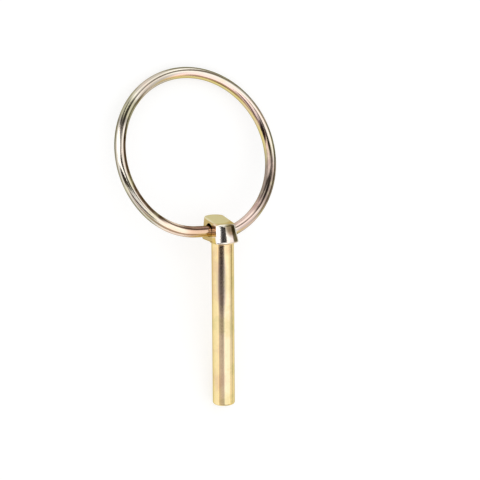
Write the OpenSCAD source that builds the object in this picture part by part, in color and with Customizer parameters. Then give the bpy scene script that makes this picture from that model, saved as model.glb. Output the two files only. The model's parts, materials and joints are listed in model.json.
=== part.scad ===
// Lynch pin: a forged pin with a flat-sided head, and a sprung wire ring that
// hinges in the head. Each piece is drawn with the shank upright, shoulder at
// z = 0 and tip down, then both are laid down as the pin comes to rest.

/* [Shank] */
// Diameter of the shank
shank_d = 6; // [4.5:0.5:8]
// Length of the shank from the shoulder to the tip
shank_len = 45; // [35:1:60]
// Radius of the rounded edge at the tip
tip_edge_r = 0.6; // [0.2:0.1:1.2]
// Radius of the fillet where the shank meets the shoulder
root_fillet_r = 0.4; // [0.2:0.1:0.8]

/* [Head] */
// How far the nose stands in front of the shank
nose_overhang = 1.2; // [0.8:0.1:2]
// Radius of the nose at the foot of the head
nose_r = 5.65; // [5:0.05:7]
// Taper of the nose on each side, in degrees
nose_taper = 16; // [8:1:20]
// How far the back of the head stands behind the shank
back_overhang = 3.7; // [3:0.1:4.5]
// Radius of the back at the foot of the head
back_r = 5.4; // [4.8:0.1:7]
// Taper of the back on each side, in degrees
back_taper = 6; // [2:0.5:8]
// How far each flat cheek stands beside the shank
cheek_overhang = 0.35; // [0.2:0.05:0.8]
// Draft of each cheek, in degrees
cheek_draft = 4.5; // [1:0.5:6]
// Slope of the top face down towards the nose, in degrees
top_slope = 10; // [4:1:12]
// Slope of the top face down towards the right cheek, in degrees
top_cant = 2; // [0:1:4]
// Radius of the rounded edge round the foot of the head
foot_edge_r = 0.5; // [0.3:0.1:0.7]

/* [Holes] */
// Clearance all round the wire in each hole
hole_clearance = 0.5; // [0.4:0.05:0.7]
// How far the wire hangs below the middle of each hole
wire_drop = 0.3; // [0.1:0.05:0.3]
// How much higher the left hole is than the right one
hole_step = 0.4; // [0.2:0.1:0.6]
// Metal below the lower hole
hole_floor = 0.8; // [0.7:0.1:1.5]
// Metal above the upper hole
hole_roof = 0.45; // [0.4:0.05:1.5]
// How far the hinge line lies behind the axis of the shank
hinge_back = 1.7; // [1.3:0.1:2.1]

/* [Ring] */
// Inside diameter of the ring
ring_id = 42; // [32:1:55]
// Diameter of the ring wire
wire_d = 3; // [2.5:0.25:3.5]
// How far the hinge line lies inside the circle of the ring
ring_inset = 1.5; // [1.2:0.1:2]
// Straight run of the wire beside the left cheek
left_run = 3.55; // [3:0.05:4.5]
// Straight run of the wire beside the right cheek, before it bends
right_run = 0.35; // [0.35:0.05:0.8]
// Radius of the bend beside the right cheek, to the middle of the wire
right_bend_r = 3.2; // [2.8:0.1:5]
// Half the gap between the two ends of the wire inside the head
end_gap = 0.9; // [0.5:0.1:1.4]
// Chamfer on each end of the wire
end_chamfer = 0.3; // [0.1:0.1:0.5]
// How far the open ring leans back from the axis of the shank, in degrees
open_lean = 21; // [15:1:30]

/* [Hidden] */
$fn = 96;

// Steel plated in zinc and passivated yellow.
PLATING = [0.80, 0.71, 0.46];
// Facets round a small rounded edge.
EDGE_FACETS = 48;
// Hair by which a rounded edge stands proud of a tapered wall, so that the two
// cross instead of just touching.
HAIR = 0.002;
// Length by which a cutting body runs past what it cuts.
OVERCUT = 1;

// Shank and head
shank_r = shank_d / 2;
head_half_t = shank_r + cheek_overhang;
nose_middle = nose_r - shank_r - nose_overhang;
back_middle = shank_r + back_overhang - back_r;

// Holes: the lower one is on the right, the upper one on the left.
wire_r = wire_d / 2;
hole_r = wire_r + hole_clearance;
right_hole_h = hole_floor + hole_r;
left_hole_h = right_hole_h + hole_step;
hinge_h = (left_hole_h + right_hole_h) / 2 - wire_drop;
hinge_tilt = atan2(hole_step, 2 * head_half_t);
top_h = left_hole_h + hole_r + hole_roof;
blank_h = top_h + 2 * back_r * tan(top_slope);

// Ring outline, in the plane of the ring: u runs to the left along the hinge
// line and v runs away from it. The circle of the ring meets the hinge line
// through one bend on each side. The radius and the turns are rounded, so that
// the arcs share their end faces.
function to_step(x, step) = step * round(x / step);
ring_r = ring_id / 2 + wire_r;
circle_v = ring_r - ring_inset;
left_end_u = head_half_t + left_run;
right_end_u = head_half_t + right_run;
right_reach = sqrt(ring_inset * (ring_r + circle_v - 2 * right_bend_r));
circle_u = right_reach - right_end_u;
left_bend_r = to_step(
    (ring_r + circle_v) / 2 - pow(left_end_u - circle_u, 2) / (2 * ring_inset), 0.01);
left_reach = sqrt(ring_inset * (ring_r + circle_v - 2 * left_bend_r));
left_turn = to_step(atan2(left_reach, circle_v - left_bend_r), 0.001);
right_turn = to_step(atan2(right_reach, circle_v - right_bend_r), 0.001);

// Rest pose: the pin lies on its back like a low tent, on the edge of its tip
// and on the far side of its ring. These are the two points that touch, as
// [back, up] from the shoulder on the shank's axis, at the middle of the
// rounded edge and of the wire.
tip_point = [shank_r - tip_edge_r, -(shank_len - tip_edge_r)];
rim_point = [hinge_back, hinge_h]
    + (circle_v + ring_r) * [sin(open_lean), cos(open_lean)];
span = rim_point - tip_point;
pitch = atan2(span[0], span[1]) + asin((wire_r - tip_edge_r) / norm(span));

// Middle of the ring and the direction that its plane faces, with the shank
// upright.
ring_middle = [
    circle_v * cos(open_lean) * sin(hinge_tilt) - circle_u * cos(hinge_tilt),
    hinge_back + circle_v * sin(open_lean),
    hinge_h + circle_v * cos(open_lean) * cos(hinge_tilt) + circle_u * sin(hinge_tilt)
];
ring_facing_back = cos(open_lean);
ring_facing_up = -sin(open_lean) * cos(hinge_tilt);

// Ends of the part along its length once it lies down.
rest_rim_facing = ring_facing_back * sin(pitch) + ring_facing_up * cos(pitch);
rest_far_end = ring_middle[1] * sin(pitch) + ring_middle[2] * cos(pitch)
    + ring_r * sqrt(1 - pow(rest_rim_facing, 2)) + wire_r;
rest_near_end = tip_point[1] * cos(pitch) - tip_point[0] * sin(pitch) - tip_edge_r;
rest_lift = tip_point[0] * cos(pitch) - tip_point[1] * sin(pitch) + tip_edge_r;
rest_shift = [-ring_middle[0], -(rest_far_end + rest_near_end) / 2, rest_lift];

// Lays an upright piece down in the rest pose, middle of the part at the
// origin and lowest points at z = 0.
module lay_down() {
    translate(rest_shift)
        rotate([pitch - 90, 0, 0])
            children();
}

// Half section of the shank: rounded edge at the tip, fillet at the shoulder.
module shank_section() {
    tip_inner_r = shank_r - tip_edge_r;
    translate([0, -shank_len])
        square([tip_inner_r, shank_len]);
    translate([0, tip_point[1]])
        square([shank_r, -tip_point[1]]);
    translate([tip_inner_r, tip_point[1]])
        circle(r = tip_edge_r);
    difference() {
        translate([0, -root_fillet_r])
            square([shank_r + root_fillet_r, 2 * root_fillet_r]);
        translate([shank_r + root_fillet_r, -root_fillet_r])
            circle(r = root_fillet_r);
    }
}

module shank() {
    rotate_extrude()
        shank_section();
}

// A round that tapers upwards, with a rounded edge at its foot.
module tapered_round(radius, taper) {
    wall_x = radius - foot_edge_r * (tan(taper) + 1 / cos(taper));
    edge_x = wall_x + HAIR;
    rotate_extrude() {
        translate([edge_x, foot_edge_r])
            circle(r = foot_edge_r, $fn = EDGE_FACETS);
        polygon([
            [0, 0],
            [edge_x, 0],
            [wall_x + foot_edge_r * cos(taper), foot_edge_r * (1 + sin(taper))],
            [radius - blank_h * tan(taper), blank_h],
            [0, blank_h]
        ]);
    }
}

// One round end of the blank of the head, which runs on straight from its
// middle. Onward is 1 where it runs on towards the back and -1 towards the nose.
module round_end(radius, taper, middle, onward) {
    reach = 3 * radius;
    translate([0, middle, 0]) {
        tapered_round(radius, taper);
        translate([0, onward * reach / 2, blank_h / 2])
            cube([2 * reach, reach, blank_h + 2 * OVERCUT], center = true);
    }
}

// Section across the head from cheek to cheek: drafted sides, rounded foot.
module cheek_section() {
    foot_x = head_half_t - foot_edge_r;
    top_x = head_half_t - (blank_h - foot_edge_r) * tan(cheek_draft);
    translate([-foot_x, 0])
        square([2 * foot_x, foot_edge_r]);
    for (side = [-1, 1])
        translate([side * foot_x, foot_edge_r])
            circle(r = foot_edge_r, $fn = EDGE_FACETS);
    polygon([
        [-head_half_t, foot_edge_r],
        [head_half_t, foot_edge_r],
        [top_x, blank_h],
        [-top_x, blank_h]
    ]);
}

module cheeks() {
    rotate([90, 0, 0])
        linear_extrude(height = 4 * back_r, center = true)
            cheek_section();
}

// Everything below the sloping top face.
module below_top() {
    half = 4 * back_r;
    translate([0, hinge_back, top_h])
        rotate([top_slope, -top_cant, 0])
            translate([-half, -half, -2 * half])
                cube([2 * half, 2 * half, 2 * half]);
}

// The two cross holes, drilled from the cheeks to the middle of the head.
module cross_holes() {
    reach = head_half_t + OVERCUT;
    for (hole = [[-1, left_hole_h], [1, right_hole_h]])
        translate([0, hinge_back, hole[1]])
            rotate([0, hole[0] * 90, 0])
                cylinder(h = reach, r = hole_r);
}

module head() {
    difference() {
        intersection() {
            intersection() {
                round_end(nose_r, nose_taper, nose_middle, 1);
                cheeks();
            }
            intersection() {
                round_end(back_r, back_taper, back_middle, -1);
                below_top();
            }
        }
        cross_holes();
    }
}

// Moves its children in a coarse and a fine step, which places a bend so
// exactly that its end faces match those of its neighbours.
module shift(v) {
    coarse = [for (x = v) to_step(x, 0.01)];
    translate(coarse)
        translate(v - coarse)
            children();
}

// An arc of the wire about the origin. Angles are counted from straight towards
// the hinge line, positive to the left.
module wire_arc(radius, from, to) {
    rotate_extrude(start = from - 90, angle = to - from)
        translate([radius, 0])
            circle(r = wire_r);
}

// One end of the wire: the bend that leaves the circle, then the straight along
// the hinge line into the head. Side is 1 to the left and -1 to the right.
module wire_end(side, radius, turn, straight) {
    shift((ring_r - radius) * [side * sin(turn), -cos(turn), 0]) {
        wire_arc(radius, min(0, side * turn), max(0, side * turn));
        translate([0, -radius, 0])
            rotate([0, -side * 90, 0]) {
                cylinder(h = straight - end_chamfer, r = wire_r);
                translate([0, 0, straight - end_chamfer])
                    cylinder(h = end_chamfer, r1 = wire_r, r2 = wire_r - end_chamfer);
            }
    }
}

// The ring flat in the u, v plane.
module ring_outline() {
    translate([circle_u, circle_v, 0]) {
        wire_arc(ring_r, left_turn, 360 - right_turn);
        wire_end(1, left_bend_r, left_turn, circle_u + left_reach - end_gap);
        wire_end(-1, right_bend_r, right_turn, right_end_u - end_gap);
    }
}

module pin() {
    color(PLATING)
        lay_down() {
            shank();
            head();
        }
}

module ring() {
    color(PLATING)
        lay_down()
            translate([0, hinge_back, hinge_h])
                rotate([-open_lean, hinge_tilt, 0])
                    rotate([90, 0, 180])
                        ring_outline();
}

pin();
ring();
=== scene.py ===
"""Looks of the lynch pin.

The part is a forged pin with a flat-sided head, and the sprung wire ring that
is hinged in the head.
"""

import json
import logging
import math
from dataclasses import dataclass
from enum import Enum

import bmesh
import bpy
import numpy as np
from mathutils import Matrix, Vector

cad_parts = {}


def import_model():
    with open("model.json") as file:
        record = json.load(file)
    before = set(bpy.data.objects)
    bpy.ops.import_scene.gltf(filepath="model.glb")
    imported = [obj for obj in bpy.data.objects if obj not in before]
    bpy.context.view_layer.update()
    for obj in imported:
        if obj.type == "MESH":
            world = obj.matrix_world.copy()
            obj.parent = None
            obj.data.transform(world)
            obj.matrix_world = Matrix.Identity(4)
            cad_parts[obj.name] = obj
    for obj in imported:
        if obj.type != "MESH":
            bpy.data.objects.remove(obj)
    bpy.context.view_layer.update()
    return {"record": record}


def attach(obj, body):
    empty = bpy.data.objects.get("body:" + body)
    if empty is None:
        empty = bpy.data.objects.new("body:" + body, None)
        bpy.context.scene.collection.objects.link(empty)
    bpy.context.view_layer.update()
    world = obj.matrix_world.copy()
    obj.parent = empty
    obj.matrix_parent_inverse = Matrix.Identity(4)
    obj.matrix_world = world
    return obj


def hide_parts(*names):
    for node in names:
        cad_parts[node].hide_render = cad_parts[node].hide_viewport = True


LOG = logging.getLogger("lynch_pin")

MM = 0.001  # one millimetre in metres
MERGE = 1e-5  # vertices nearer than this, in millimetres, become one
CREASE = 35.0  # an edge sharper than this, in degrees, stays sharp
TINY = 0.001  # keeps a division finite

Rgb = tuple[float, float, float]
Point = tuple[float, float, float]
Socket = bpy.types.NodeSocket
Source = Socket | float | tuple[float, ...]
OpenEnd = list[bmesh.types.BMVert | bmesh.types.BMEdge]


class Slot(Enum):
    """Material slots of the record."""

    FORGING = "plated_forging"
    WIRE = "plated_wire"


class Axis(Enum):
    """Main axes."""

    X = "X"
    Y = "Y"
    Z = "Z"


class Side(Enum):
    """Sides of the pin, with the sign of x there."""

    LEFT = -1
    RIGHT = 1


class Way(Enum):
    """Ends of the head, with the sign of y there."""

    NOSE = -1
    BACK = 1


class Joining(Enum):
    """What is done with a second body."""

    ADD = "UNION"
    CUT = "DIFFERENCE"


def turn(axis: Axis, degrees: float) -> Matrix:
    """A 4x4 turn about a main axis.

    Args:
        axis: Axis of the turn.
        degrees: Angle of the turn.

    Returns:
        The turn as a matrix.
    """
    return Matrix.Rotation(math.radians(degrees), 4, axis.value)


def shift(x: float, y: float, z: float) -> Matrix:
    """A 4x4 move along x, y and z."""
    return Matrix.Translation((x, y, z))


# --------------------------------------------------------------------------
# Places
# --------------------------------------------------------------------------


@dataclass(frozen=True)
class Placement:
    """Where the pin and the ring lie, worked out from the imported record.

    Shapes are drawn in millimetres with the shank upright, shoulder at z = 0,
    tip down, left cheek on -x, nose on -y. The ring is drawn flat, with u to
    the left along the hinge line and v away from it.
    """

    record: dict
    shank_middle: float = 22.4  # from the shoulder to the middle of the mount
    open_lean: float = 21.0  # of the open ring off the line of the shank

    @property
    def pin(self) -> Matrix:
        """Where the pin lies.

        Returns:
            Matrix from the upright pin in millimetres to the frame in metres.
        """
        mount = next(m for m in self.record["mounts"] if m["name"] == "shank")
        to_tip = Vector(mount["axis"]).normalized()
        up = -to_tip
        side = Vector((1.0, 0.0, 0.0))
        shoulder = Vector(mount["pos_m"]) - to_tip * self.shank_middle * MM
        axes = Matrix((side, up.cross(side), up)).transposed().to_4x4()
        return Matrix.Translation(shoulder) @ axes @ Matrix.Scale(MM, 4)

    @property
    def hinge(self) -> dict:
        """The hinge joint's row in the record."""
        return self.record["behaviour"]["joints"][0]

    @property
    def hinge_tilt(self) -> float:
        """Degrees by which the hinge line rises to the left cheek of the pin."""
        along = self.pin.inverted().to_3x3() @ Vector(self.hinge["axis"])
        return math.degrees(math.atan2(along.z, -along.x))

    @property
    def ring(self) -> Matrix:
        """Where the ring lies.

        Returns:
            Matrix from the flat ring in millimetres to the frame in metres.
        """
        origin = self.pin.inverted() @ Vector(self.hinge["pos_m"])
        lean = turn(Axis.Y, self.hinge_tilt) @ turn(Axis.X, -self.open_lean)
        stood_up = turn(Axis.Z, 180) @ turn(Axis.X, 90)
        return self.pin @ Matrix.Translation(origin) @ lean @ stood_up


# --------------------------------------------------------------------------
# Meshes
# --------------------------------------------------------------------------


def new_object(
    name: str, shape: bmesh.types.BMesh, matrix: Matrix | None = None
) -> bpy.types.Object:
    """Turns a bmesh into an object at the origin, and frees the bmesh.

    Args:
        name: Name of the object and its mesh.
        shape: The finished bmesh.
        matrix: Applied to the mesh first, if given.

    Returns:
        The new object, linked to the scene.
    """
    if matrix is not None:
        bmesh.ops.transform(shape, matrix=matrix, verts=shape.verts)
    bmesh.ops.recalc_face_normals(shape, faces=shape.faces)
    mesh = bpy.data.meshes.new(name)
    shape.to_mesh(mesh)
    shape.free()
    made = bpy.data.objects.new(name, mesh)
    bpy.context.scene.collection.objects.link(made)
    return made


def combine(target: bpy.types.Object, tool: bpy.types.Object, joining: Joining) -> None:
    """Joins a tool body to a target, or cuts it away, and removes the tool.

    Args:
        target: Object whose mesh is changed.
        tool: Object that is added or cut away.
        joining: Which of the two.
    """
    modifier = target.modifiers.new("combine", "BOOLEAN")
    modifier.operation = joining.value
    modifier.solver = "EXACT"
    modifier.object = tool
    evaluated = target.evaluated_get(bpy.context.evaluated_depsgraph_get())
    result = bpy.data.meshes.new_from_object(evaluated)
    target.modifiers.remove(modifier)
    old, target.data = target.data, result
    bpy.data.meshes.remove(old)
    mesh = tool.data
    bpy.data.objects.remove(tool)
    bpy.data.meshes.remove(mesh)


def shade(made: bpy.types.Object) -> None:
    """Shades a mesh smooth, apart from its creases.

    Args:
        made: Object to shade.
    """
    shape = bmesh.new()
    shape.from_mesh(made.data)
    limit = math.radians(CREASE)
    for face in shape.faces:
        face.smooth = True
    for edge in shape.edges:
        edge.smooth = len(edge.link_faces) == 2 and edge.calc_face_angle() < limit
    shape.to_mesh(made.data)
    shape.free()


def soft_max(first: np.ndarray, second: np.ndarray, blend: float) -> np.ndarray:
    """Greater of two distances, rounded over where they are nearly equal.

    Args:
        first: Signed distances outside the first face.
        second: Signed distances outside the second face.
        blend: Difference below which the two run into each other.

    Returns:
        The rounded greater distance.
    """
    overlap = np.maximum(blend - np.abs(first - second), 0.0) / blend
    return np.maximum(first, second) + overlap * overlap * blend / 4


# --------------------------------------------------------------------------
# Pin
# --------------------------------------------------------------------------


@dataclass(frozen=True)
class RoundEnd:
    """Nose or back of the head, a tapered half round. Sizes in millimetres."""

    way: Way
    radius: float
    taper: float
    overhang: float  # past the shank

    def outside(self, points: np.ndarray, shank_r: float) -> np.ndarray:
        """Signed distance outside the half round.

        Args:
            points: Points as rows of x, y, z.
            shank_r: Radius of the shank below.

        Returns:
            One distance a point, negative inside.
        """
        x, y, z = points.T
        along = y * self.way.value
        middle = shank_r + self.overhang - self.radius
        beyond = np.maximum(along - middle, 0.0)
        lean = math.radians(self.taper)
        return (np.hypot(x, beyond) - self.radius + z * math.tan(lean)) * math.cos(lean)


@dataclass
class ForgedPin:
    """Shank and head, forged as one piece. Sizes in millimetres, angles in degrees."""

    place: Placement
    finish: "Plating"
    shank_r: float = 3.0
    shank_length: float = 45.0
    shank_overlap: float = 0.3  # up into the head
    tip_edge_r: float = 0.6
    root_fillet_r: float = 0.4
    nose: RoundEnd = RoundEnd(Way.NOSE, radius=5.65, taper=16.0, overhang=1.2)
    back: RoundEnd = RoundEnd(Way.BACK, radius=5.4, taper=6.0, overhang=3.7)
    half_thickness: float = 3.35  # at the foot of the head
    cheek_draft: float = 4.5
    top_height: float = 5.65  # over the shoulder, at the hinge line
    top_slope: float = 10.0  # down to the nose
    top_cant: float = 2.0  # down to the right cheek
    hinge_back: float = 1.7  # behind the middle of the shank
    hinge_height: float = 2.7
    hole_r: float = 1.85
    hole_lift: float = 0.24  # of the holes over the hinge line
    hole_back: float = 0.2  # of the holes behind it
    foot_edge: float = 0.6
    cheek_edge: float = 0.4
    top_edge: float = 0.4
    grid_cuts: int = 79  # of each face of the block that makes the head
    halvings: int = 40  # by which each point finds the surface
    round_steps: int = 96  # round the shank
    edge_steps: int = 8  # round the tip's edge and the fillet
    drill_sides: int = 64
    drill_start: float = 1.0  # outside the cheek

    def outside(self, points: np.ndarray) -> np.ndarray:
        """Signed distance outside the head, with its edges rounded.

        Args:
            points: Points as rows of x, y, z.

        Returns:
            One distance a point, negative inside.
        """
        x, y, z = points.T
        ends = np.maximum(*(end.outside(points, self.shank_r) for end in (self.nose, self.back)))
        draft = math.radians(self.cheek_draft)
        cheeks = (np.abs(x) - self.half_thickness + z * math.tan(draft)) * math.cos(draft)
        slope, cant = math.radians(self.top_slope), math.radians(self.top_cant)
        fall = (y - self.hinge_back) * math.tan(slope) - x * math.tan(cant)
        top = (z - self.top_height - fall) * math.cos(slope)
        sides = soft_max(ends, cheeks, self.cheek_edge)
        return soft_max(soft_max(sides, top, self.top_edge), -z, self.foot_edge)

    def head(self) -> bmesh.types.BMesh:
        """The head: a fine block whose points slide along rays to its surface.

        Returns:
            The closed body, with its foot at the shoulder.
        """
        shape = bmesh.new()
        bmesh.ops.create_cube(shape, size=2.0)
        bmesh.ops.subdivide_edges(
            shape, edges=shape.edges, cuts=self.grid_cuts, use_grid_fill=True
        )
        block = np.array([v.co for v in shape.verts])
        depth = 2 * self.shank_r + self.nose.overhang + self.back.overhang
        middle_y = (self.back.overhang - self.nose.overhang) / 2
        centre = np.array((0.0, middle_y, self.top_height / 2))
        reach = block * np.array((self.half_thickness, depth / 2, self.top_height / 2))
        # shares of the reach that lie inside and outside the surface
        near, far = np.zeros(len(block)), np.full(len(block), 2.0)
        for _ in range(self.halvings):
            middle = (near + far) / 2
            out = self.outside(centre + reach * middle[:, None]) > 0
            near, far = np.where(out, near, middle), np.where(out, middle, far)
        for vertex, spot in zip(shape.verts, centre + reach * near[:, None]):
            vertex.co = spot
        return shape

    def section(self) -> list[tuple[float, float]]:
        """Half a section of the shank.

        Returns:
            Points as r and z, from the middle of the tip up into the head.
        """
        quarter = [math.radians(90 * n / self.edge_steps) for n in range(self.edge_steps + 1)]
        tip, edge, fillet = -self.shank_length, self.tip_edge_r, self.root_fillet_r
        flat, root = self.shank_r - edge, self.shank_r + fillet
        tip_edge = [(flat + edge * math.sin(a), tip + edge - edge * math.cos(a)) for a in quarter]
        neck = [(root - fillet * math.cos(a), fillet * math.sin(a) - fillet) for a in quarter]
        end = [(root, self.shank_overlap), (0.0, self.shank_overlap)]
        return [(0.0, tip), *tip_edge, *neck, *end]

    def shank(self) -> bmesh.types.BMesh:
        """The shank: half a section spun about its axis.

        Returns:
            The closed body.
        """
        shape = bmesh.new()
        corners = [shape.verts.new((r, 0.0, z)) for r, z in self.section()]
        edges = [shape.edges.new(pair) for pair in zip(corners, corners[1:])]
        bmesh.ops.spin(
            shape,
            geom=corners + edges,
            cent=(0, 0, 0),
            axis=(0, 0, 1),
            angle=math.tau,
            steps=self.round_steps,
            use_merge=True,
        )
        bmesh.ops.remove_doubles(shape, verts=shape.verts, dist=MERGE)
        return shape

    def drill(self, side: Side) -> bmesh.types.BMesh:
        """The drill for one cross hole, which runs along the hinge line.

        Args:
            side: Cheek that it goes into.

        Returns:
            The body that is cut away.
        """
        shape = bmesh.new()
        depth = self.half_thickness + self.drill_start
        made = bmesh.ops.create_cone(
            shape,
            cap_ends=True,
            segments=self.drill_sides,
            radius1=self.hole_r,
            radius2=self.hole_r,
            depth=depth,
        )
        bmesh.ops.translate(shape, vec=(0, 0, depth / 2), verts=made["verts"])
        middle = shift(0, self.hinge_back + self.hole_back, self.hinge_height + self.hole_lift)
        place = middle @ turn(Axis.Y, self.place.hinge_tilt + 90 * side.value)
        bmesh.ops.transform(shape, matrix=place, verts=shape.verts)
        return shape

    def build(self) -> bpy.types.Object:
        """Makes the pin, dresses it and lets it ride on its body.

        Returns:
            The finished piece.
        """
        piece = new_object("forged_pin", self.head())
        combine(piece, new_object("shank", self.shank()), Joining.ADD)
        for side in Side:
            combine(piece, new_object("drill", self.drill(side)), Joining.CUT)
        piece.data.transform(self.place.pin)
        shade(piece)
        piece.data.materials.append(self.finish.material())
        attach(piece, "pin")
        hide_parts("pin")
        return piece


# --------------------------------------------------------------------------
# Ring
# --------------------------------------------------------------------------


@dataclass
class SprungRing:
    """One length of spring wire bent to a ring. Sizes in millimetres."""

    place: Placement
    finish: "Plating"
    bore: float = 42.0
    wire_r: float = 1.5
    inset: float = 1.5  # of the hinge line inside the circle
    left_end: float = 6.9  # where the left bend leaves the hinge line
    right_end: float = 3.7
    right_bend_r: float = 3.2
    end_gap: float = 0.9  # from the middle of the head to each wire end
    end_chamfer: float = 0.3
    wire_steps: int = 48  # round the wire
    arc_step: float = 1.5  # degrees of bend to a step
    least_steps: int = 4  # of a bend

    def __post_init__(self) -> None:
        """Works out the bends through which the circle meets the hinge line."""
        self.ring_r = self.bore / 2 + self.wire_r
        self.circle_v = self.ring_r - self.inset
        spread = self.ring_r + self.circle_v
        right_reach = math.sqrt(self.inset * (spread - 2 * self.right_bend_r))
        self.circle_u = right_reach - self.right_end
        left_span = self.left_end - self.circle_u
        self.left_bend_r = spread / 2 - left_span**2 / (2 * self.inset)
        left_reach = math.sqrt(self.inset * (spread - 2 * self.left_bend_r))
        self.left_turn = math.degrees(math.atan2(left_reach, self.circle_v - self.left_bend_r))
        self.right_turn = math.degrees(math.atan2(right_reach, self.circle_v - self.right_bend_r))

    def draw_straight(
        self, shape: bmesh.types.BMesh, loop: OpenEnd, length: float, grow: float = 1.0
    ) -> OpenEnd:
        """Runs the wire straight along the hinge line.

        Args:
            shape: Mesh that the wire is made in.
            loop: Vertices and edges of the wire's open end.
            length: Length of the run.
            grow: Size of the far end against the near one.

        Returns:
            Vertices and edges of the new open end.
        """
        edges = [e for e in loop if isinstance(e, bmesh.types.BMEdge)]
        made = bmesh.ops.extrude_edge_only(shape, edges=edges)["geom"]
        loop = [g for g in made if not isinstance(g, bmesh.types.BMFace)]
        corners = [g for g in loop if isinstance(g, bmesh.types.BMVert)]
        bmesh.ops.translate(shape, vec=(length, 0, 0), verts=corners)
        middle = sum((v.co for v in corners), Vector()) / len(corners)
        bmesh.ops.scale(
            shape, vec=(grow, grow, grow), space=Matrix.Translation(-middle), verts=corners
        )
        ends = set(corners)
        return [g for g in loop if isinstance(g, bmesh.types.BMVert) or set(g.verts) <= ends]

    def draw_arc(
        self,
        shape: bmesh.types.BMesh,
        loop: OpenEnd,
        centre: tuple[float, float],
        degrees: float,
    ) -> OpenEnd:
        """Bends the wire round a centre.

        Args:
            shape: Mesh that the wire is made in.
            loop: Vertices and edges of the wire's open end.
            centre: Middle of the bend, as u and v.
            degrees: Angle of the bend.

        Returns:
            Vertices and edges of the new open end.
        """
        made = bmesh.ops.spin(
            shape,
            geom=loop,
            cent=(*centre, 0.0),
            axis=(0, 0, 1),
            angle=math.radians(degrees),
            steps=max(self.least_steps, round(degrees / self.arc_step)),
        )
        return made["geom_last"]

    def bend_centre(self, side: Side, radius: float, degrees: float) -> tuple[float, float]:
        """Middle of the bend between the circle and the hinge line.

        Args:
            side: Side of the ring that the bend is on.
            radius: Radius of the bend.
            degrees: Angle of the bend.

        Returns:
            The middle as u and v.
        """
        gap = self.ring_r - radius
        angle = math.radians(degrees)
        u = self.circle_u - side.value * gap * math.sin(angle)
        return u, self.circle_v - gap * math.cos(angle)

    def wire(self) -> bmesh.types.BMesh:
        """The wire, drawn from its left end round to its right end.

        Returns:
            The closed body, flat in u and v.
        """
        shape = bmesh.new()
        small = self.wire_r - self.end_chamfer
        start = shift(self.end_gap, 0, 0) @ turn(Axis.Y, 90)
        bmesh.ops.create_circle(shape, segments=self.wire_steps, radius=small, matrix=start)
        loop = list(shape.verts) + list(shape.edges)
        left = self.bend_centre(Side.LEFT, self.left_bend_r, self.left_turn)
        right = self.bend_centre(Side.RIGHT, self.right_bend_r, self.right_turn)
        ends = self.end_gap + self.end_chamfer
        loop = self.draw_straight(shape, loop, self.end_chamfer, self.wire_r / small)
        loop = self.draw_straight(shape, loop, left[0] - ends)
        loop = self.draw_arc(shape, loop, left, self.left_turn)
        round_turn = 360 - self.left_turn - self.right_turn
        loop = self.draw_arc(shape, loop, (self.circle_u, self.circle_v), round_turn)
        loop = self.draw_arc(shape, loop, right, self.right_turn)
        loop = self.draw_straight(shape, loop, -ends - right[0])
        self.draw_straight(shape, loop, self.end_chamfer, small / self.wire_r)
        bmesh.ops.remove_doubles(shape, verts=shape.verts, dist=MERGE)
        bmesh.ops.holes_fill(shape, edges=shape.edges)
        return shape

    def build(self) -> bpy.types.Object:
        """Makes the ring, dresses it and lets it ride on its body.

        Returns:
            The finished piece.
        """
        piece = new_object("sprung_ring", self.wire(), self.place.ring)
        shade(piece)
        piece.data.materials.append(self.finish.material())
        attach(piece, "ring")
        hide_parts("ring")
        return piece


# --------------------------------------------------------------------------
# Finishes
# --------------------------------------------------------------------------


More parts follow.
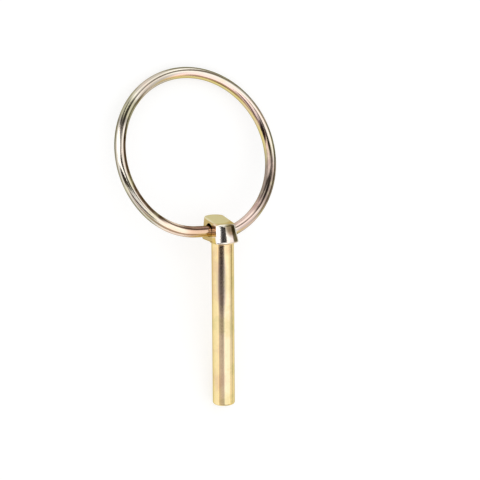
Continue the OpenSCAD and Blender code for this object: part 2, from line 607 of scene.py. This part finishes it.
class Nodes:
    """Short calls for making the nodes of one tree."""

    def __init__(self, tree: bpy.types.NodeTree) -> None:
        """Starts on a tree, which it empties first."""
        self.tree = tree
        tree.nodes.clear()

    def add(self, kind: str, **settings: object) -> bpy.types.Node:
        """Adds a node and sets its properties.

        Args:
            kind: Node type, such as "ShaderNodeMath".
            **settings: Properties of the node.

        Returns:
            The new node.
        """
        node = self.tree.nodes.new(kind)
        for name, value in settings.items():
            setattr(node, name, value)
        return node

    def feed(self, target: Socket, value: Source) -> None:
        """Links an output to an input, or sets the input where the value is plain.

        Args:
            target: The input.
            value: An output, a number, a vector, or red, green and blue.
        """
        if isinstance(value, Socket):
            self.tree.links.new(value, target)
        elif target.type == "RGBA":
            target.default_value = (*value, 1.0)
        else:
            target.default_value = value

    def fill(self, node: bpy.types.Node, **values: Source) -> bpy.types.Node:
        """Feeds inputs of a node by name.

        Args:
            node: The node.
            **values: What goes in, with _ for each blank in an input's name.

        Returns:
            The same node.
        """
        for name, value in values.items():
            self.feed(node.inputs[name.replace("_", " ")], value)
        return node

    def math(self, operation: str, *values: Source, clamp: bool = False) -> Socket:
        """A Math node.

        Args:
            operation: The node's operation.
            *values: Its inputs, each a socket or a number.
            clamp: Whether the result is kept between 0 and 1.

        Returns:
            The result.
        """
        node = self.add("ShaderNodeMath", operation=operation, use_clamp=clamp)
        for target, value in zip(node.inputs, values):
            self.feed(target, value)
        return node.outputs[0]

    def vector(self, operation: str, *values: Source) -> Socket:
        """A Vector Math node that makes a number of its vectors.

        Args:
            operation: The node's operation.
            *values: Its vectors.

        Returns:
            The number.
        """
        node = self.add("ShaderNodeVectorMath", operation=operation)
        for target, value in zip(node.inputs, values):
            self.feed(target, value)
        return node.outputs["Value"]

    def smooth(self, value: Source, low: Source, high: Source) -> Socket:
        """A soft step.

        Args:
            value: What is looked at.
            low: Where the step starts, with 0.
            high: Where it ends, with 1.

        Returns:
            The step.
        """
        node = self.add("ShaderNodeMapRange", interpolation_type="SMOOTHSTEP")
        return self.fill(node, Value=value, From_Min=low, From_Max=high).outputs["Result"]

    def mix(self, factor: Source, first: Source, second: Source) -> Socket:
        """A colour mix.

        Args:
            factor: Share of the second colour.
            first: First colour, a socket or red, green and blue.
            second: Second colour, likewise.

        Returns:
            The mixed colour.
        """
        node = self.add("ShaderNodeMix", data_type="RGBA")
        colors = [socket for socket in node.inputs if socket.type == "RGBA"]
        self.feed(node.inputs[0], factor)
        self.feed(colors[0], first)
        self.feed(colors[1], second)
        return next(socket for socket in node.outputs if socket.type == "RGBA")

    def noise(self, place: Source, scale: float, detail: float, rough: float = 0.5) -> Socket:
        """Noise from 0 to 1.

        Args:
            place: Coordinates that it reads.
            scale: How many waves to a unit of them.
            detail: How many finer layers.
            rough: Strength of the finer layers.

        Returns:
            The noise.
        """
        node = self.add("ShaderNodeTexNoise")
        self.fill(node, Vector=place, Scale=scale, Detail=detail, Roughness=rough)
        return node.outputs["Fac"]


def start_group(name: str, takes: dict[str, str], gives: dict[str, str]) -> Nodes:
    """Starts a shader node group with named sockets.

    Args:
        name: Name of the group.
        takes: Kind of each input, by its name.
        gives: Kind of each output, by its name.

    Returns:
        The nodes of the group, still empty.
    """
    tree = bpy.data.node_groups.new(name, "ShaderNodeTree")
    for side, sockets in (("INPUT", takes), ("OUTPUT", gives)):
        for label, kind in sockets.items():
            tree.interface.new_socket(label, in_out=side, socket_type=f"NodeSocket{kind}")
    return Nodes(tree)


@dataclass(frozen=True)
class Film:
    """The passivation film, whose thickness drifts over the plating.

    Scales are waves to a millimetre, and the rest is in shares of 1.
    """

    broad_scale: float = 0.11
    broad_share: float = 0.75
    fine_scale: float = 0.55
    rose_from: float = 0.5
    rose_to: float = 0.66
    green_from: float = 0.48
    green_to: float = 0.34
    grain_scale: float = 6.0
    grain_depth: float = 0.16
    gloss_scale: float = 2.2
    gloss_depth: float = 0.16
    height_scale: float = 3.0

    def group(self) -> bpy.types.NodeTree:
        """The film as a node group, which is made once and shared.

        Returns:
            A group from a position in millimetres, three colours, a drift and a
            roughness to a colour, a roughness and a height.
        """
        name = "passivation_film"
        if name in bpy.data.node_groups:
            return bpy.data.node_groups[name]
        colors = {"Body Color": "Color", "Rose Color": "Color", "Green Color": "Color"}
        make = start_group(
            name,
            {"Position": "Vector", **colors, "Drift": "Float", "Base Roughness": "Float"},
            {"Color": "Color", "Roughness": "Float", "Height": "Float"},
        )
        given = make.add("NodeGroupInput").outputs
        place, drift = given["Position"], given["Drift"]
        broad = make.noise(place, self.broad_scale, detail=1.5)
        fine = make.noise(place, self.fine_scale, detail=2.0)
        rest = make.math("MULTIPLY", fine, 1 - self.broad_share)
        thickness = make.math("ADD", make.math("MULTIPLY", broad, self.broad_share), rest)
        rose = make.math("MULTIPLY", make.smooth(thickness, self.rose_from, self.rose_to), drift)
        green = make.math("MULTIPLY", make.smooth(thickness, self.green_from, self.green_to), drift)
        color = make.mix(rose, given["Body Color"], given["Rose Color"])
        color = make.mix(green, color, given["Green Color"])
        grain = make.noise(place, self.grain_scale, detail=3.0, rough=0.6)
        level = make.math("MULTIPLY_ADD", grain, self.grain_depth, 1 - self.grain_depth / 2)
        grained = make.fill(make.add("ShaderNodeHueSaturation"), Color=color, Value=level)
        gloss = make.noise(place, self.gloss_scale, detail=3.0)
        change = make.math("MULTIPLY_ADD", gloss, self.gloss_depth, -self.gloss_depth / 2)
        make.fill(
            make.add("NodeGroupOutput"),
            Color=grained.outputs["Color"],
            Roughness=make.math("ADD", given["Base Roughness"], change, clamp=True),
            Height=make.noise(place, self.height_scale, detail=4.0, rough=0.6),
        )
        return make.tree


def zone_group() -> bpy.types.NodeTree:
    """The mask of a zone as a node group, which is made once and shared.

    Returns:
        A group from a position, the zone's centre, its reach and its softness to
        a mask, 1 inside the zone and 0 outside it.
    """
    name = "film_tone_and_painted_light_zone"
    if name in bpy.data.node_groups:
        return bpy.data.node_groups[name]
    vectors = {"Position": "Vector", "Centre": "Vector", "Reach": "Vector"}
    make = start_group(name, {**vectors, "Soft": "Float"}, {"Mask": "Float"})
    given = make.add("NodeGroupInput").outputs
    unit = make.add("ShaderNodeMapping", vector_type="TEXTURE")
    make.fill(unit, Vector=given["Position"], Location=given["Centre"], Scale=given["Reach"])
    away = make.vector("LENGTH", unit.outputs["Vector"])
    outer = make.math("ADD", 1.0, given["Soft"])
    inner = make.math("SUBTRACT", 1.0, given["Soft"])
    make.fill(make.add("NodeGroupOutput"), Mask=make.smooth(away, outer, inner))
    return make.tree


@dataclass(frozen=True)
class Zone:
    """A soft-edged ellipsoid of the part with another colour. Some zones are other tones of the
    film, and others are painted reflections and painted shade.

    Centre and reach are in millimetres. Its edge fades over `soft` times the
    reach, inwards and outwards.
    """

    centre: Point
    reach: Point
    soft: float
    color: Rgb

    def mask(self, make: Nodes, place: Socket) -> Socket:
        """Mask of the zone.

        Args:
            make: Nodes of the material.
            place: Position in millimetres.

        Returns:
            1 inside the zone, 0 outside it.
        """
        node = make.add("ShaderNodeGroup", node_tree=zone_group())
        make.fill(node, Position=place, Centre=self.centre, Reach=self.reach, Soft=self.soft)
        return node.outputs["Mask"]


def ring_disc(left: float, up: float, radius: float, soft: float, color: Rgb) -> Zone:
    """A zone right through the ring, round a point near the middle of its circle.

    Its edge runs along the wire, so it parts the wire into a stripe on the
    inside and one on the outside. Off the middle it does so on one side only.

    Args:
        left: How far its middle is to the left of the circle's, in millimetres.
        up: How far its middle is from the circle's, away from the hinge.
        radius: Its radius in millimetres. The wire runs from 21 to 24.
        soft: Softness of its edge.
        color: Colour inside it.

    Returns:
        The zone.
    """
    circle_u, circle_v, through = 3.76, 21.0, 99.0
    centre = (circle_u + left, circle_v + up, 0.0)
    return Zone(centre, (radius, radius, through), soft, color)


@dataclass(frozen=True)
class Plating:
    """Zinc plating with a yellow passivation film, and zones that hold other tones of the film and
    painted reflections and shade.
    """

    name: str
    body: Rgb
    rose: Rgb
    green: Rgb
    edge: Rgb  # tint of the metal seen at a grazing angle
    drift: float
    roughness: float
    bump: float
    bump_height: float  # millimetres
    zones: tuple[Zone, ...]  # each over the ones before it
    frame: Matrix  # from the millimetres of the zones to the frame

    def material(self) -> bpy.types.Material:
        """Makes the material.

        Returns:
            The material, whose pattern keeps to the piece it is drawn for.
        """
        made = bpy.data.materials.new(self.name)
        made.use_nodes = True
        make = Nodes(made.node_tree)
        drawn = make.fill(
            make.add("ShaderNodeMapping", vector_type="TEXTURE"),
            Vector=make.add("ShaderNodeTexCoord").outputs["Object"],
            Location=self.frame.to_translation(),
            Rotation=self.frame.to_euler(),
            Scale=self.frame.to_scale(),
        )
        place = drawn.outputs["Vector"]
        body: Source = self.body
        # the zones lay other tones of the film, and painted reflections and shade, over the body
        # colour
        for zone in self.zones:
            body = make.mix(zone.mask(make, place), body, zone.color)
        film = make.fill(
            make.add("ShaderNodeGroup", node_tree=Film().group()),
            Position=place,
            Body_Color=body,
            Rose_Color=self.rose,
            Green_Color=self.green,
            Drift=self.drift,
            Base_Roughness=self.roughness,
        )
        bump = make.fill(
            make.add("ShaderNodeBump"),
            Strength=self.bump,
            Distance=self.bump_height * MM,
            Height=film.outputs["Height"],
        )
        shader = make.fill(
            make.add("ShaderNodeBsdfPrincipled"),
            Metallic=1.0,
            Specular_Tint=self.edge,
            Base_Color=film.outputs["Color"],
            Roughness=film.outputs["Roughness"],
            Normal=bump.outputs["Normal"],
        )
        make.fill(make.add("ShaderNodeOutputMaterial"), Surface=shader.outputs["BSDF"])
        return made


def forging_finish(place: Placement) -> Plating:
    """Finish of the pin: gold, with a thin bright film on the nose, and painted reflections on the
    left cheek, the nose and the shank.

    Args:
        place: Where the pin lies.

    Returns:
        The finish, its zones drawn on the upright pin.
    """
    return Plating(
        name="yellow_zinc_forging",
        body=(0.60, 0.45, 0.225),
        rose=(0.72, 0.46, 0.32),
        green=(0.60, 0.56, 0.24),
        edge=(0.60, 0.55, 0.30),
        drift=0.42,
        roughness=0.1,
        bump=0.2,
        bump_height=0.05,
        zones=(
            # bronze and amber patches of painted reflection on the left cheek, before the hole
            Zone((-3.4, -1.5, 3.2), (1.1, 1.7, 2.6), 0.3, (0.90, 0.72, 0.56)),
            Zone((-3.4, -1.6, 0.9), (1.2, 1.5, 0.8), 0.5, (0.78, 0.58, 0.20)),
            # bright nose, and a brown patch of painted dark reflection high on it
            Zone((0, -7, 2.8), (7, 5.8, 6), 0.05, (0.94, 0.92, 0.90)),
            Zone((1.1, -3.6, 4.4), (2.0, 1.8, 2.4), 0.3, (0.20, 0.15, 0.09)),
            # the whole shank, a paler strip down its front, and a brown strip of painted dark
            # reflection below the head
            Zone((0, 0, -24), (40, 40, 24.1), 0.004, (0.94, 0.76, 0.40)),
            Zone((-1, -3, -24), (2.2, 1.6, 24.1), 0.35, (0.90, 0.76, 0.54)),
            Zone((-1.75, -2.7, -10.2), (1.1, 1.6, 8.6), 0.4, (0.47, 0.39, 0.33)),
            # greenish top of the head
            Zone((0, -6, 6.75), (8, 14, 1.7), 0.05, (0.76, 0.70, 0.48)),
        ),
        frame=place.pin,
    )


def wire_finish(place: Placement) -> Plating:
    """Finish of the ring: a drawn wire with stripes along it, some of them tones of the film and
    some painted reflections and shade.

    Args:
        place: Where the ring lies.

    Returns:
        The finish, its zones drawn on the flat ring.
    """
    return Plating(
        name="yellow_zinc_wire",
        # the body colour shows only on the outer rim, where it is a painted dark reflection
        body=(0.24, 0.22, 0.14),
        rose=(0.80, 0.60, 0.52),
        green=(0.66, 0.64, 0.40),
        edge=(0.40, 0.37, 0.24),
        drift=0.45,
        roughness=0.085,
        bump=0.2,
        bump_height=0.05,
        zones=(
            # outer rim: painted dark reflection, darker still on the right, yellow low on the right
            Zone((-26, 24, 0), (18, 25, 99), 0.2, (0.15, 0.145, 0.095)),
            Zone((-11, 3, 0), (10, 5, 99), 0.3, (0.58, 0.54, 0.17)),
            # all of the wire inside that rim
            ring_disc(0.40, -0.15, 23.53, 0.004, (0.76, 0.71, 0.63)),
            # rose stripe at the top right, and a painted dark reflection down the right side
            ring_disc(-0.34, 0.94, 21.2, 0.01, (0.92, 0.70, 0.66)),
            ring_disc(-2.36, -1.10, 19.95, 0.008, (0.14, 0.09, 0.07)),
            # inner rim: painted dark reflection at the left and below, then dark rose, then yellow
            # above
            ring_disc(0.75, -0.50, 21.6, 0.008, (0.14, 0.09, 0.055)),
            ring_disc(-0.56, -0.28, 21.0, 0.008, (0.52, 0.33, 0.31)),
            ring_disc(0.0, 0.20, 21.15, 0.006, (0.74, 0.62, 0.26)),
            # painted duller reflections at the upper left and the top
            Zone((23, 32.6, 0), (3.4, 4.4, 4), 0.4, (0.30, 0.27, 0.24)),
            Zone((15, 40.5, 0), (6, 5, 4), 0.5, (0.60, 0.54, 0.46)),
            # to the right of the head: a painted darker reflection, then rose
            Zone((-16.2, 10.8, 0), (4.6, 9.5, 4), 0.5, (0.31, 0.245, 0.21)),
            Zone((-8.2, 1.9, 0), (4, 4, 4), 0.4, (0.70, 0.56, 0.51)),
            # to the left of the head: peach, then copper, with painted dark reflection on its upper
            # side and a painted warm reflection on its underside
            Zone((12.2, 0.2, 0), (6, 4, 4), 0.4, (0.96, 0.79, 0.66)),
            Zone((5.5, 0, 0), (5, 4, 4), 0.3, (0.76, 0.54, 0.40)),
            Zone((6, 1.3, 0), (6, 1.4, 3), 0.3, (0.28, 0.16, 0.12)),
            Zone((5, -1.3, 0.4), (4, 0.8, 2), 0.4, (0.80, 0.58, 0.24)),
        ),
        frame=place.ring,
    )


# --------------------------------------------------------------------------
# Studio
# --------------------------------------------------------------------------


@dataclass(frozen=True)
class Card:
    """A soft-edged light or dark card in the surroundings.

    Its place is seen from the part, in degrees: azimuth to the camera's right,
    elevation above the camera, tilt of its long side. Its edge fades over `soft`
    degrees, inwards and outwards.
    """

    azimuth: float
    elevation: float
    half_width: float
    half_height: float
    tilt: float
    soft: float
    color: Rgb


@dataclass
class Studio:
    """Camera, floor and surroundings. Sizes in millimetres, angles in degrees."""

    place: Placement
    turn_left: float = 28.961632  # camera, round the shank from its front
    raise_up: float = 12.411846  # camera, up the shank
    roll: float = 0.322565
    distance: float = 452.671838  # camera, from the shoulder
    side_step: float = 4.63878
    up_step: float = 0.43098
    lens: float = 127.5
    sensor: float = 36.0
    clip_from: float = 10.0
    clip_to: float = 10000.0
    plain: float = 0.92  # level of the surroundings
    seen: float = 1.0  # level of the backdrop to the camera
    grazing: float = 0.02  # a card ends where it is seen edge-on
    floor_reach: float = 3000.0
    floor_drop: float = 0.02  # under the part, so that the two don't touch
    floor_grey: float = 0.40
    floor_glow: float = 0.66  # added where the floor is seen or mirrored
    cards: tuple[Card, ...] = (
        # below
        Card(0, -66, 70, 24, 0, 8, (0.46, 0.38, 0.28)),
        Card(-30, -34, 30, 12, 0, 5, (0.68, 0.60, 0.56)),
        Card(-92, -20, 36, 16, 0, 6, (1.40, 1.30, 1.15)),
        Card(38, -12, 20, 36, -6, 6, (1.30, 1.26, 1.20)),
        Card(60, -28, 22, 9, 0, 6, (1.25, 1.20, 1.10)),
        Card(114, -38, 28, 15, 0, 8, (0.95, 0.82, 0.45)),
        Card(-8, -27, 27, 5.6, 0, 1.2, (0.02, 0.015, 0.02)),
        # to the left
        Card(-100, 16, 28, 14, 0, 6, (1.4, 1.4, 1.4)),
        # above
        Card(-50, 50, 74, 12, -4, 5, (0.15, 0.135, 0.12)),
        Card(45, 67, 36, 12, 0, 6, (1.5, 1.5, 1.45)),
        Card(24, 38, 22, 8, -24, 4, (0.09, 0.08, 0.07)),
        # about the camera
        Card(-42, 24, 44, 13, 0, 4, (1.8, 1.8, 1.8)),
        Card(-26, -5, 36, 10, 15, 4, (0.05, 0.04, 0.035)),
        Card(4, 14, 15, 7, 18, 3, (0.05, 0.045, 0.04)),
        Card(-28, 6, 32, 3.5, 0, 1.5, (1.9, 1.9, 1.85)),
        Card(24.5, 8.3, 14.5, 5, 2, 2.6, (0.03, 0.028, 0.028)),
        Card(65, 19, 15, 9, 0, 4, (1.40, 1.37, 1.33)),
        # to the right
        Card(108, -6, 22, 10, 0, 4, (0.42, 0.38, 0.26)),
        Card(114, 14, 27, 22, 0, 4, (0.36, 0.34, 0.24)),
        Card(100, 11, 16, 6, 0, 4, (0.15, 0.135, 0.07)),
        Card(96, 48, 38, 10, 0, 5, (0.20, 0.17, 0.12)),
    )

    def axes(self) -> Matrix:
        """Axes of the camera in the frame.

        Returns:
            Right, up and back as columns.
        """
        left, up = math.radians(self.turn_left), math.radians(self.raise_up)
        across = math.cos(up)
        back = Vector((-math.sin(left) * across, -math.cos(left) * across, math.sin(up)))
        right = Vector((math.cos(left), -math.sin(left), 0.0))
        upright = Matrix((right, back.cross(right), back)).transposed()
        rolled = upright @ turn(Axis.Z, -self.roll).to_3x3()
        return self.place.pin.to_quaternion().to_matrix() @ rolled

    def camera(self) -> None:
        """Makes the camera at its viewing angle."""
        data = bpy.data.cameras.new("camera")
        data.lens, data.sensor_width = self.lens, self.sensor
        data.clip_start, data.clip_end = self.clip_from * MM, self.clip_to * MM
        made = bpy.data.objects.new("camera", data)
        bpy.context.scene.collection.objects.link(made)
        axes = self.axes()
        offset = axes @ Vector((self.side_step, self.up_step, self.distance)) * MM
        shoulder = self.place.pin.to_translation()
        made.matrix_world = Matrix.Translation(shoulder + offset) @ axes.to_4x4()
        bpy.context.scene.camera = made

    def card_mask(self, make: Nodes, toward: Socket, card: Card) -> Socket:
        """Mask of one card in the surroundings.

        Args:
            make: Nodes of the world.
            toward: Direction looked in.
            card: The card.

        Returns:
            1 on the card, 0 away from it.
        """
        aim = turn(Axis.Y, card.azimuth) @ turn(Axis.X, -card.elevation)
        facing = self.axes() @ (aim @ turn(Axis.Z, card.tilt)).to_3x3()
        side, up, out = (tuple(axis) for axis in facing.transposed())
        ahead = make.vector("DOT_PRODUCT", toward, out)
        mask = make.smooth(ahead, 0.0, self.grazing)
        depth = make.math("MAXIMUM", ahead, TINY)
        for axis, half in ((side, card.half_width), (up, card.half_height)):
            across = make.math("DIVIDE", make.vector("DOT_PRODUCT", toward, axis), depth)
            angle = make.math("ABSOLUTE", make.math("ARCTANGENT", across))
            outer, inner = math.radians(half + card.soft), math.radians(half - card.soft)
            mask = make.math("MULTIPLY", mask, make.smooth(angle, outer, inner))
        return mask

    def world(self) -> None:
        """Paints the surroundings: pale all round, with soft light and dark cards."""
        world = bpy.data.worlds.new("studio")
        bpy.context.scene.world = world
        world.use_nodes = True
        make = Nodes(world.node_tree)
        toward = make.add("ShaderNodeTexCoord").outputs["Generated"]
        plain = (self.plain,) * 3
        color: Source = plain
        for card in self.cards:
            color = make.mix(self.card_mask(make, toward, card), color, card.color)
        path = make.add("ShaderNodeLightPath").outputs
        color = make.mix(path["Is Diffuse Ray"], color, plain)
        color = make.mix(path["Is Camera Ray"], color, (self.seen,) * 3)
        background = make.fill(make.add("ShaderNodeBackground"), Color=color)
        out = make.add("ShaderNodeOutputWorld")
        make.fill(out, Surface=background.outputs["Background"])

    def floor(self) -> None:
        """Makes the plain white floor that the part lies on."""
        shape = bmesh.new()
        bmesh.ops.create_grid(shape, x_segments=1, y_segments=1, size=self.floor_reach * MM)
        made = new_object("floor", shape, shift(0, 0, -self.floor_drop * MM))
        material = bpy.data.materials.new("white_paper")
        material.use_nodes = True
        make = Nodes(material.node_tree)
        diffuse = make.fill(make.add("ShaderNodeBsdfDiffuse"), Color=(self.floor_grey,) * 3)
        path = make.add("ShaderNodeLightPath").outputs
        seen = make.math("MAXIMUM", path["Is Camera Ray"], path["Is Glossy Ray"])
        seen = make.math("MAXIMUM", seen, path["Is Transmission Ray"])
        glow = make.add("ShaderNodeEmission")
        make.fill(glow, Strength=make.math("MULTIPLY", seen, self.floor_glow))
        both = make.add("ShaderNodeAddShader")
        make.feed(both.inputs[0], diffuse.outputs["BSDF"])
        make.feed(both.inputs[1], glow.outputs["Emission"])
        out = make.add("ShaderNodeOutputMaterial")
        make.fill(out, Surface=both.outputs["Shader"])
        made.data.materials.append(material)

    def build(self) -> None:
        """Makes the camera, the surroundings and the floor."""
        self.camera()
        self.world()
        self.floor()
        bpy.context.scene.view_settings.view_transform = "Standard"


# --------------------------------------------------------------------------
# The part
# --------------------------------------------------------------------------


def main() -> None:
    """Builds the studio and the two pieces."""
    logging.basicConfig(level=logging.INFO, format="%(name)s: %(message)s")
    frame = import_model()
    place = Placement(frame["record"])
    studio = Studio(place)
    studio.build()
    LOG.info("studio: %d cards", len(studio.cards))
    for maker in (ForgedPin(place, forging_finish(place)), SprungRing(place, wire_finish(place))):
        piece = maker.build()
        LOG.info("%s: %d faces", piece.name, len(piece.data.polygons))


if __name__ == "__main__":
    main()
